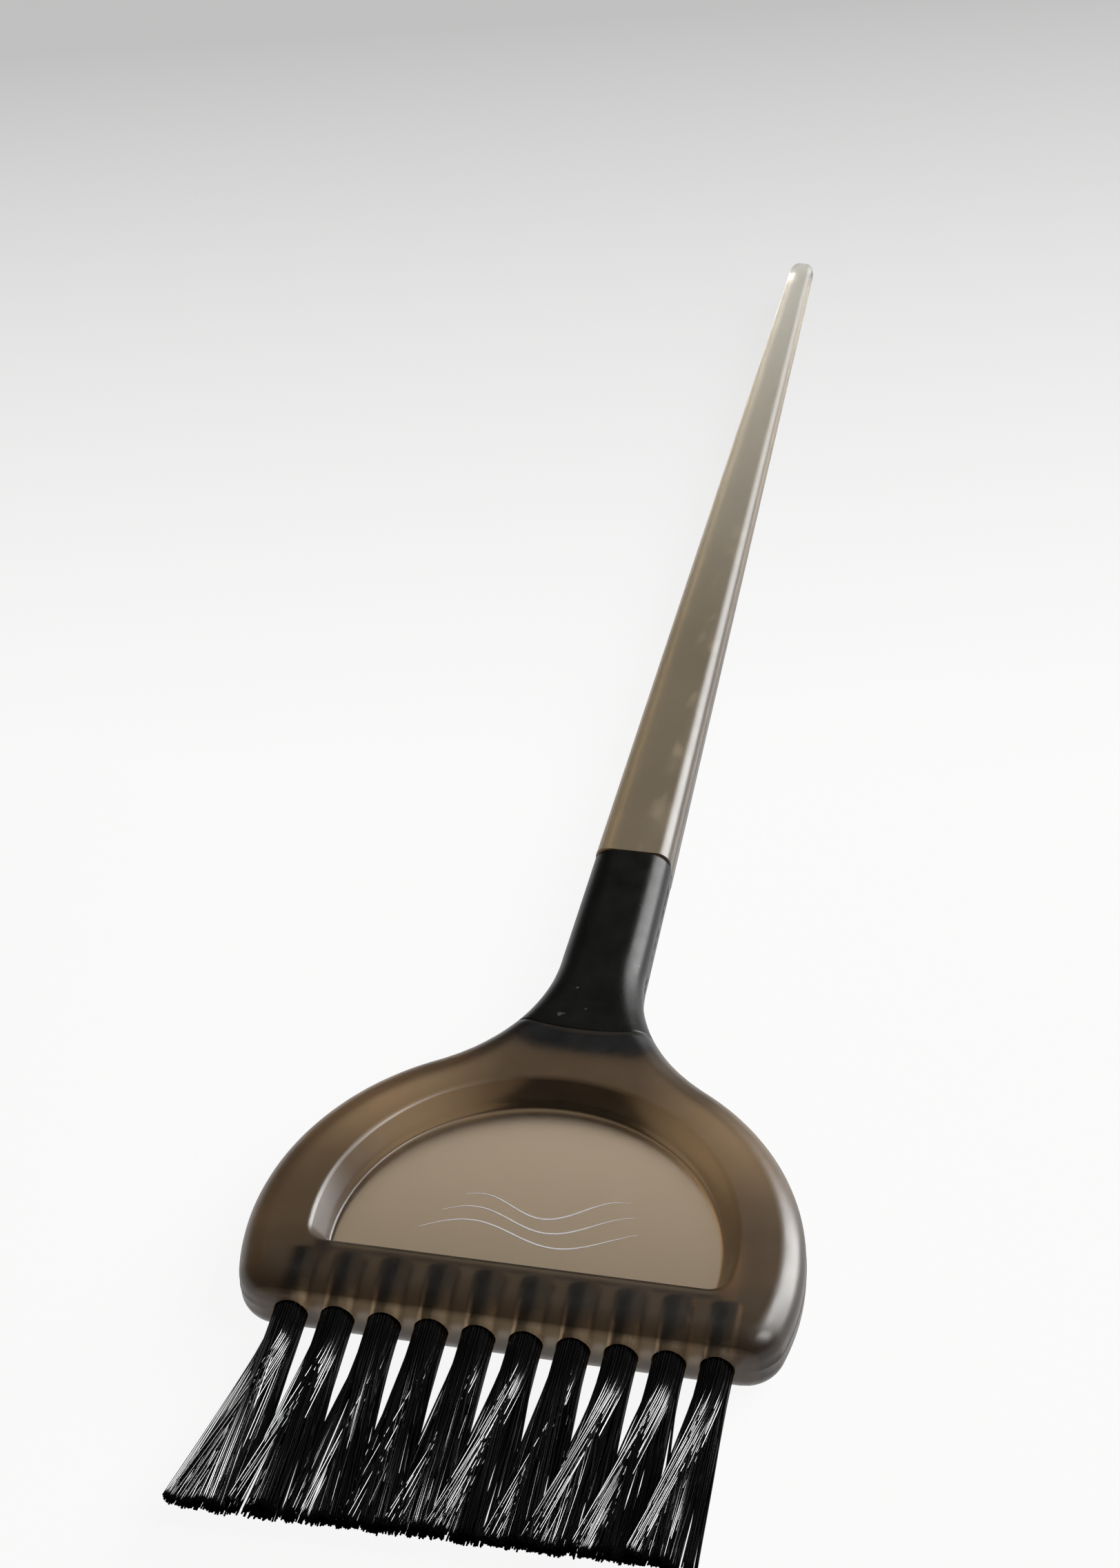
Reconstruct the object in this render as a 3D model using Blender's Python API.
"""A tint brush for hair colour: a D-shaped head with a row of bristle tufts, a soft grip sleeve and a tapered tail.

The brush lies on its back. +Z is the normal of its front face and +Y runs from the bristles to the tip of the tail.
The origin is at the bottom centre of the whole brush. Lengths are in metres. A distance called "along" is measured
from the head's bristle edge towards the tail, so the free bristles have negative ones.
"""

import math

import bmesh
import bpy
from mathutils import Vector

# Whole brush
HANDLE_LENGTH = 0.206
BRISTLE_LENGTH = 0.027
THICKNESS = 0.0084
EDGE_Y = (BRISTLE_LENGTH - HANDLE_LENGTH) / 2
MID_Z = THICKNESS / 2
GAP = 0.0003

# Head outline: a circle cut off by the bristle edge, with rounded corners and a concave run into the neck
HEAD_RADIUS = 0.0312
HEAD_CENTRE = 0.0107
CORNER_RADIUS = 0.0046
CORNER_X = math.sqrt((HEAD_RADIUS - CORNER_RADIUS) ** 2 - (HEAD_CENTRE - CORNER_RADIUS) ** 2)
NECK_HALF_WIDTH = 0.00515
NECK_TAPER = 0.022
NECK_FILLET = 0.022
NECK_START = HEAD_CENTRE + math.sqrt(
    (HEAD_RADIUS + NECK_FILLET) ** 2 - (NECK_HALF_WIDTH + NECK_FILLET) ** 2
)

# How the thickness falls from the head to the tip, and how round the long edges are
HEAD_EDGE_ROUND = 0.003
THINNING_START = 0.036
NECK_HALF_THICKNESS = 0.0035
NECK_EDGE_ROUND = 0.0026
TAIL_HALF_WIDTH = 0.00465
TAIL_HALF_THICKNESS = 0.00345
TAIL_EDGE_ROUND = 0.0017
TIP_HALF_WIDTH = 0.0016
TIP_HALF_THICKNESS = 0.00125
TIP_EDGE_ROUND = 0.0009
TIP_ROUND_LENGTH = 0.0022

# Grip sleeve, whose lower border dips towards the head in the middle of each face
SLEEVE_START = 0.0449
SLEEVE_END = 0.0748
SLEEVE_DIP = 0.0015
SLEEVE_DIP_REACH = 0.006
SLEEVE_DEPTH = 0.0012

# D-shaped recess in each face, as (height over the web, radius, flat edge's distance along)
RECESS_CENTRE = 0.0118
WEB_HALF_THICKNESS = 0.00075
RECESS_STEPS = (
    (0.0, 0.02165, 0.00935),
    (0.0009, 0.0219, 0.0091),
    (0.0011, 0.0226, 0.0084),
    (0.0028, 0.0233, 0.0077),
    (0.00345, 0.0241, 0.0069),
)
RECESS_CORNER_RADIUS = 0.0028

# Bristle row
TUFTS = 10
PITCH = 0.00525
BORE_RADIUS = 0.00195
BORE_DEPTH = 0.0076
ROOT_RADIUS = BORE_RADIUS - 0.00025
ROOT_END = BORE_DEPTH - GAP
ANCHOR_START = 0.004
ANCHOR_HEIGHT = 0.0015
ANCHOR_WIDTH = 0.0034
ANCHOR_THICKNESS = 0.0004

# Free bristles: where the tips end across the brush, and the hinge each bundle flexes about
BUNDLE_RADIUS = 0.0019
HINGE_ALONG = -(BUNDLE_RADIUS + GAP)
TIP_LEFT = -0.030
TIP_RIGHT = 0.0263
FAN_GROWTH = 0.085
TIP_HALF_DEPTH = 0.0016

# How finely curves are divided
EDGE_STEPS = 4
FLAT_STEPS = 6
BORE_SIDES = 20


def clear_scene():
    for obj in list(bpy.data.objects):
        bpy.data.objects.remove(obj, do_unlink=True)


def new_collection(name):
    collection = bpy.data.collections.new(name)
    bpy.context.scene.collection.children.link(collection)
    return collection


def material(name, colour, roughness, metallic=0.0, transmission=0.0):
    made = bpy.data.materials.new(name)
    made.use_nodes = True
    shader = made.node_tree.nodes["Principled BSDF"]
    shader.inputs["Base Color"].default_value = (*colour, 1.0)
    shader.inputs["Roughness"].default_value = roughness
    shader.inputs["Metallic"].default_value = metallic
    shader.inputs["Transmission Weight"].default_value = transmission
    made.diffuse_color = (*colour, 1.0)
    return made


def lerp(a, b, t):
    return a + (b - a) * t


def smooth(t):
    t = min(max(t, 0.0), 1.0)
    return t * t * (3 - 2 * t)


# The moulding's outer shape


def half_width(along, inset=0.0):
    """Half the width of the outline after it is moved inwards by inset."""
    corner_end = HEAD_CENTRE - (HEAD_RADIUS - inset) * (HEAD_CENTRE - CORNER_RADIUS) / (
        HEAD_RADIUS - CORNER_RADIUS
    )
    circle_end = HEAD_CENTRE + (HEAD_RADIUS - inset) * (NECK_START - HEAD_CENTRE) / (
        HEAD_RADIUS + NECK_FILLET
    )
    if along < corner_end:
        rise = max((CORNER_RADIUS - inset) ** 2 - (CORNER_RADIUS - along) ** 2, 0.0)
        return CORNER_X + math.sqrt(rise)
    if along < circle_end:
        return math.sqrt((HEAD_RADIUS - inset) ** 2 - (along - HEAD_CENTRE) ** 2)
    if along < NECK_START:
        fall = math.sqrt((NECK_FILLET + inset) ** 2 - (NECK_START - along) ** 2)
        return NECK_HALF_WIDTH + NECK_FILLET - fall
    return NECK_HALF_WIDTH - NECK_TAPER * (along - NECK_START) - inset


def body_sizes(along):
    """(half thickness, edge rounding) of the head and neck."""
    t = smooth((along - THINNING_START) / (SLEEVE_END - THINNING_START))
    return lerp(THICKNESS / 2, NECK_HALF_THICKNESS, t), lerp(HEAD_EDGE_ROUND, NECK_EDGE_ROUND, t)


def ring(quarter, flat_end):
    """A closed ring from the points of its quarter at +X and +Z, side first, and the x where its flat starts."""
    top = quarter[-1][1]
    flat = [(flat_end * (1 - 2 * k / FLAT_STEPS), top) for k in range(1, FLAT_STEPS)]
    upper = quarter + flat + [(-x, z) for x, z in reversed(quarter)]
    return upper + [(x, -z) for x, z in reversed(upper)]


def head_ring(along, depth=0.0):
    """The section of the head or neck, moved inwards by depth all round."""
    half, edge = body_sizes(along)
    half, edge = half - depth, edge - depth * 0.8
    edge_here = max(1 - min(along, edge) / edge, 0.0)
    last = math.acos(edge_here)
    quarter = []
    for k in range(EDGE_STEPS + 1):
        angle = last * k / EDGE_STEPS
        inset = depth + edge * (1 - math.cos(angle))
        quarter.append((half_width(along, inset), half - edge + edge * math.sin(angle)))
    return ring(quarter, quarter[-1][0])


def tail_ring(along):
    """The section of the tail, which shrinks to a rounded tip."""
    t = (along - SLEEVE_END) / (HANDLE_LENGTH - SLEEVE_END)
    into_tip = max((along - HANDLE_LENGTH + TIP_ROUND_LENGTH) / TIP_ROUND_LENGTH, 0.0)
    shrink = math.sqrt(max(1 - into_tip**2, 0.0))
    wide = lerp(TAIL_HALF_WIDTH, TIP_HALF_WIDTH, t) * shrink
    half = lerp(TAIL_HALF_THICKNESS, TIP_HALF_THICKNESS, t) * shrink
    edge = lerp(TAIL_EDGE_ROUND, TIP_EDGE_ROUND, t) * shrink
    quarter = []
    for k in range(EDGE_STEPS + 1):
        angle = math.pi / 2 * k / EDGE_STEPS
        quarter.append((wide - edge * (1 - math.cos(angle)), half - edge + edge * math.sin(angle)))
    return ring(quarter, quarter[-1][0])


def dip(along, across):
    """How far the sleeve's lower border, and the rings near it, shift towards the head at this share of the width."""
    near = max(1 - abs(along - SLEEVE_START) / SLEEVE_DIP_REACH, 0.0)
    return SLEEVE_DIP * smooth(near) * (1 - across**2)


def placed_ring(along, depth=0.0):
    """head_ring as points in space, with the dip of the sleeve's border."""
    plain = head_ring(along, depth)
    widest = max(x for x, _ in plain)
    points = []
    for index, (x, _) in enumerate(plain):
        here = along - dip(along, x / widest)
        px, pz = head_ring(here, depth)[index]
        points.append(Vector((px, EDGE_Y + here, MID_Z + pz)))
    return points


def placed_tail_ring(along):
    return [Vector((x, EDGE_Y + along, MID_Z + z)) for x, z in tail_ring(along)]


def head_stations():
    """Distances along at which the head has a ring: close together where its outline or edge is round."""
    edge = [HEAD_EDGE_ROUND * (1 - math.cos(math.radians(a))) for a in range(0, 91, 15)]
    first = math.degrees(math.asin((CORNER_RADIUS - HEAD_CENTRE) / (HEAD_RADIUS - CORNER_RADIUS)))
    circle = [
        HEAD_CENTRE + HEAD_RADIUS * math.sin(math.radians(lerp(first, 59, k / 13))) for k in range(14)
    ]
    return edge + [a for a in circle if a > edge[-1] + 0.0004]


def neck_stations():
    return [lerp(SLEEVE_START, SLEEVE_END, t) for t in (0, 0.05, 0.11, 0.18, 0.27, 0.38, 0.6, 1)]


def tail_stations():
    body = [lerp(SLEEVE_END, HANDLE_LENGTH - TIP_ROUND_LENGTH, k / 6) for k in range(7)]
    turns = (0.35, 0.6, 0.8, 0.93, 0.99)
    return body + [HANDLE_LENGTH - TIP_ROUND_LENGTH * (1 - t) for t in turns]


def loft(name, rings, collection, closed=False):
    """One surface through the rings, with flat ends, or joined end to start if closed."""
    bm = bmesh.new()
    rows = [[bm.verts.new(point) for point in points] for points in rings]
    count = len(rows[0])
    pairs = list(zip(rows, rows[1:]))
    if closed:
        pairs.append((rows[-1], rows[0]))
    for near, far in pairs:
        for k in range(count):
            after = (k + 1) % count
            bm.faces.new((near[k], near[after], far[after], far[k]))
    if not closed:
        bm.faces.new(rows[0])
        bm.faces.new(list(reversed(rows[-1])))
    bmesh.ops.remove_doubles(bm, verts=bm.verts, dist=1e-6)
    bmesh.ops.dissolve_degenerate(bm, edges=bm.edges, dist=1e-7)
    bmesh.ops.recalc_face_normals(bm, faces=bm.faces)
    return finish_mesh(name, bm, collection)


def finish_mesh(name, bm, collection, angle=35):
    mesh = bpy.data.meshes.new(name)
    bm.to_mesh(mesh)
    bm.free()
    mesh.shade_smooth()
    mesh.set_sharp_from_angle(angle=math.radians(angle))
    obj = bpy.data.objects.new(name, mesh)
    collection.objects.link(obj)
    return obj


def set_origin(obj, point):
    """Moves the object's origin to point and leaves its shape where it is."""
    obj.data.transform(obj.matrix_world.inverted())
    for vertex in obj.data.vertices:
        vertex.co -= point
    obj.location = point


def as_cutter(obj, name):
    obj.name = name
    obj.hide_render = True
    obj.display_type = "WIRE"
    return obj


def cut(obj, cutter):
    modifier = obj.modifiers.new(cutter.name, "BOOLEAN")
    modifier.operation = "DIFFERENCE"
    modifier.solver = "EXACT"
    modifier.object = cutter


# Cutters for the head


def d_outline(radius, flat_along, corner):
    """A circle cut off by a straight edge, with rounded corners, as (x, along) points from the right corner round."""
    drop = RECESS_CENTRE - flat_along - corner
    centre_x = math.sqrt((radius - corner) ** 2 - drop**2)
    turn = math.atan2(-drop, centre_x)
    points = []
    for k in range(5):
        angle = lerp(-math.pi / 2, turn, k / 4)
        x = centre_x + corner * math.cos(angle)
        points.append((x, flat_along + corner + corner * math.sin(angle)))
    for k in range(1, 28):
        angle = lerp(turn, math.pi - turn, k / 28)
        points.append((radius * math.cos(angle), RECESS_CENTRE + radius * math.sin(angle)))
    mirrored = [(-x, along) for x, along in reversed(points[:5])]
    return points + mirrored


def recess_cutter(name, side, collection):
    """The recess on the front (side 1) or the back (side -1), from the web to just past the face."""
    rings = []
    for height, radius, flat_along in RECESS_STEPS:
        z = MID_Z + side * (WEB_HALF_THICKNESS + height)
        corner = RECESS_CORNER_RADIUS - (RECESS_STEPS[-1][1] - radius) * 0.5
        outline = d_outline(radius, flat_along, corner)
        rings.append([Vector((x, EDGE_Y + along, z)) for x, along in outline])
    past = side * THICKNESS * 0.1
    rings.append([point + Vector((0, 0, past)) for point in rings[-1]])
    return as_cutter(loft(name, rings, collection), name)


def cylinder_along_y(name, radius, start, end, x, sides, collection):
    """A cylinder on the bristle row's plane, from start to end along the brush."""
    bm = bmesh.new()
    bmesh.ops.create_cone(
        bm, cap_ends=True, segments=sides, radius1=radius, radius2=radius, depth=end - start
    )
    for vertex in bm.verts:
        cx, cy, cz = vertex.co
        vertex.co = (x + cx, EDGE_Y + (start + end) / 2 + cz, MID_Z - cy)
    bmesh.ops.recalc_face_normals(bm, faces=bm.faces)
    return finish_mesh(name, bm, collection)


def bore_cutter(collection):
    """Every bore as one mesh of separate cylinders."""
    bores = [
        cylinder_along_y("bore", BORE_RADIUS, -0.001, BORE_DEPTH, tuft_x(i), BORE_SIDES, collection)
        for i in range(TUFTS)
    ]
    bm = bmesh.new()
    for bore in bores:
        bm.from_mesh(bore.data)
        bpy.data.objects.remove(bore, do_unlink=True)
    return as_cutter(finish_mesh("bores_cutter", bm, collection), "bores_cutter")


# The pieces


def make_handle(parts, cutters, smoke):
    rings = [placed_ring(along) for along in head_stations()]
    rings += [placed_ring(SLEEVE_START - back) for back in (0.005, 0.0022, 0.0)]
    rings += [placed_ring(along, SLEEVE_DEPTH) for along in neck_stations()]
    rings += [placed_tail_ring(along) for along in tail_stations()]
    handle = loft("handle", rings, parts)
    cut(handle, recess_cutter("front_recess_cutter", 1, cutters))
    cut(handle, recess_cutter("back_recess_cutter", -1, cutters))
    cut(handle, bore_cutter(cutters))
    handle.data.materials.append(smoke)
    return handle


def make_sleeve(parts, soft):
    """A tube round the neck core, clear of it and of the groove's two ends by the gap."""
    first, last = SLEEVE_START, SLEEVE_END
    stations = [lerp(first, last, (a - first) / (last - first)) for a in neck_stations()]
    stations = [a + GAP if a == first else a - GAP if a == last else a for a in stations]
    outer = [placed_ring(along) for along in stations]
    inner = [placed_ring(along, SLEEVE_DEPTH - GAP) for along in reversed(stations)]
    sleeve = loft("grip_sleeve", outer + inner, parts, closed=True)
    sleeve.data.materials.append(soft)
    return sleeve


def tuft_x(i):
    return (i - (TUFTS - 1) / 2) * PITCH


def make_anchor(i, parts, metal):
    """The flat staple across the bore, in the fold of the filaments."""
    bm = bmesh.new()
    bmesh.ops.create_cube(bm, size=1.0)
    middle = Vector((tuft_x(i), EDGE_Y + ANCHOR_START + ANCHOR_HEIGHT / 2, MID_Z))
    for vertex in bm.verts:
        x, y, z = vertex.co
        vertex.co = (x * ANCHOR_WIDTH, y * ANCHOR_HEIGHT, z * ANCHOR_THICKNESS)
        vertex.co += middle
    anchor = finish_mesh(f"anchor_{i + 1:02d}", bm, parts)
    set_origin(anchor, middle)
    anchor.data.materials.append(metal)
    return anchor


def make_root(i, parts, cutters, nylon):
    """The folded end in the bore, with a slot where the anchor passes through the fold."""
    x = tuft_x(i)
    root = cylinder_along_y(f"tuft_root_{i + 1:02d}", ROOT_RADIUS, 0.0, ROOT_END, x, 12, parts)
    bm = bmesh.new()
    bmesh.ops.create_cube(bm, size=1.0)
    for vertex in bm.verts:
        cx, cy, cz = vertex.co
        vertex.co.x = x + cx * BORE_RADIUS * 3
        vertex.co.y = EDGE_Y + ANCHOR_START + ANCHOR_HEIGHT / 2 + cy * (ANCHOR_HEIGHT + 2 * GAP)
        vertex.co.z = MID_Z + cz * (ANCHOR_THICKNESS + 2 * GAP)
    slot = as_cutter(finish_mesh(f"anchor_slot_{i + 1:02d}", bm, cutters), f"anchor_slot_{i + 1:02d}")
    cut(root, slot)
    root.data.materials.append(nylon)
    return root


def border(j, t):
    """Where neighbouring bundles meet: x of border j at share t of the free length."""
    root = (j - TUFTS / 2) * PITCH
    return lerp(root, lerp(TIP_LEFT, TIP_RIGHT, j / TUFTS), t)


def bundle_ring(i, along):
    """The section of one bundle: round where it leaves the bore and nearly square at the tips."""
    t = -along / BRISTLE_LENGTH
    tip_centre = lerp(TIP_LEFT, TIP_RIGHT, (i + 0.5) / TUFTS)
    middle = lerp(tuft_x(i), tip_centre, t)
    spread = BUNDLE_RADIUS + FAN_GROWTH * max(HINGE_ALONG - along, 0.0)
    left = max(middle - spread, border(i, t) + GAP / 2)
    right = min(middle + spread, border(i + 1, t) - GAP / 2)
    shape = lerp(1.0, 0.5, smooth(t * 1.6))
    depth = lerp(BUNDLE_RADIUS, TIP_HALF_DEPTH, smooth(t))
    if along > HINGE_ALONG:
        height = (along - HINGE_ALONG) / BUNDLE_RADIUS
        shrink = math.sqrt(max(1 - height**2, 0.0))
        left = lerp(middle, left, shrink)
        right = lerp(middle, right, shrink)
        depth *= shrink
    points = []
    for k in range(14):
        angle = math.tau * k / 14
        c, s = math.cos(angle), math.sin(angle)
        x = lerp(left, right, 0.5 + 0.5 * math.copysign(abs(c) ** shape, c))
        z = depth * math.copysign(abs(s) ** shape, s)
        points.append(Vector((x, EDGE_Y + along, MID_Z + z)))
    return points


def make_tuft(i, parts, nylon):
    """The free length of one bundle, with a ball end about its hinge so that it turns clear of the head."""
    ball = [HINGE_ALONG + BUNDLE_RADIUS * h for h in (0.985, 0.85, 0.6, 0.3, 0.0)]
    free = [lerp(HINGE_ALONG, -BRISTLE_LENGTH, t) for t in (0.15, 0.35, 0.6, 1.0)]
    tuft = loft(f"tuft_{i + 1:02d}", [bundle_ring(i, along) for along in ball + free], parts)
    set_origin(tuft, Vector((tuft_x(i), EDGE_Y + HINGE_ALONG, MID_Z)))
    tuft.data.materials.append(nylon)
    return tuft


def main():
    clear_scene()
    parts = new_collection("tint_brush")
    cutters = new_collection("cutters")
    smoke = material("smoke_plastic", (0.18, 0.13, 0.085), 0.4, transmission=0.3)
    soft = material("soft_touch_black", (0.012, 0.012, 0.011), 0.55)
    nylon = material("nylon_black", (0.006, 0.006, 0.006), 0.3)
    metal = material("anchor_metal", (0.62, 0.6, 0.56), 0.35, metallic=1.0)
    make_handle(parts, cutters, smoke)
    make_sleeve(parts, soft)
    for i in range(TUFTS):
        make_root(i, parts, cutters, nylon)
        make_anchor(i, parts, metal)
        make_tuft(i, parts, nylon)


main()
